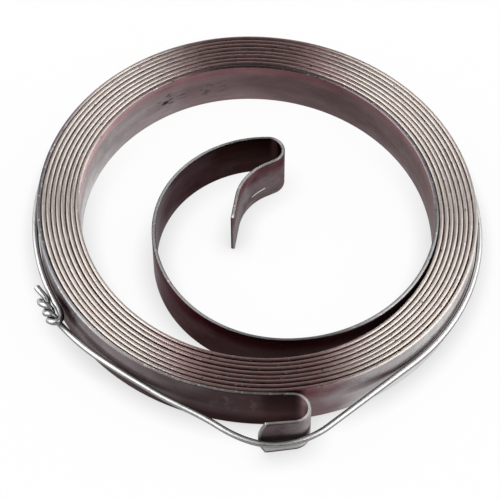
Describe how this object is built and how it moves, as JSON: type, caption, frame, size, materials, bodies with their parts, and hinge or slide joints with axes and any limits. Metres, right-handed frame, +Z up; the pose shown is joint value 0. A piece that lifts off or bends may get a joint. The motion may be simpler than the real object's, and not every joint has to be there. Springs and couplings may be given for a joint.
{
  "type": "recoil starter spring",
  "caption": "Flat steel recoil starter spring wound in a close coil, with a curled hook at the outer end, a hooked inner loop and a twisted wire tie that keeps it wound.",
  "frame": {"origin": "on the coil axis, in the plane that the lower strip edge rests on", "axes": "+Z up along the coil axis, +Y from the outer hook toward the far side of the coil, +X to the right seen from the hook"},
  "size_m": [0.0832, 0.0899, 0.01],
  "materials": {
    "spring_steel": "oiled, heat-tinted spring steel, satin",
    "tie_wire": "galvanised, semi-gloss"
  },
  "bodies": {
    "root": {"spring_strip": "spring_steel", "tie_wire": "tie_wire"}
  },
  "joints": []
}
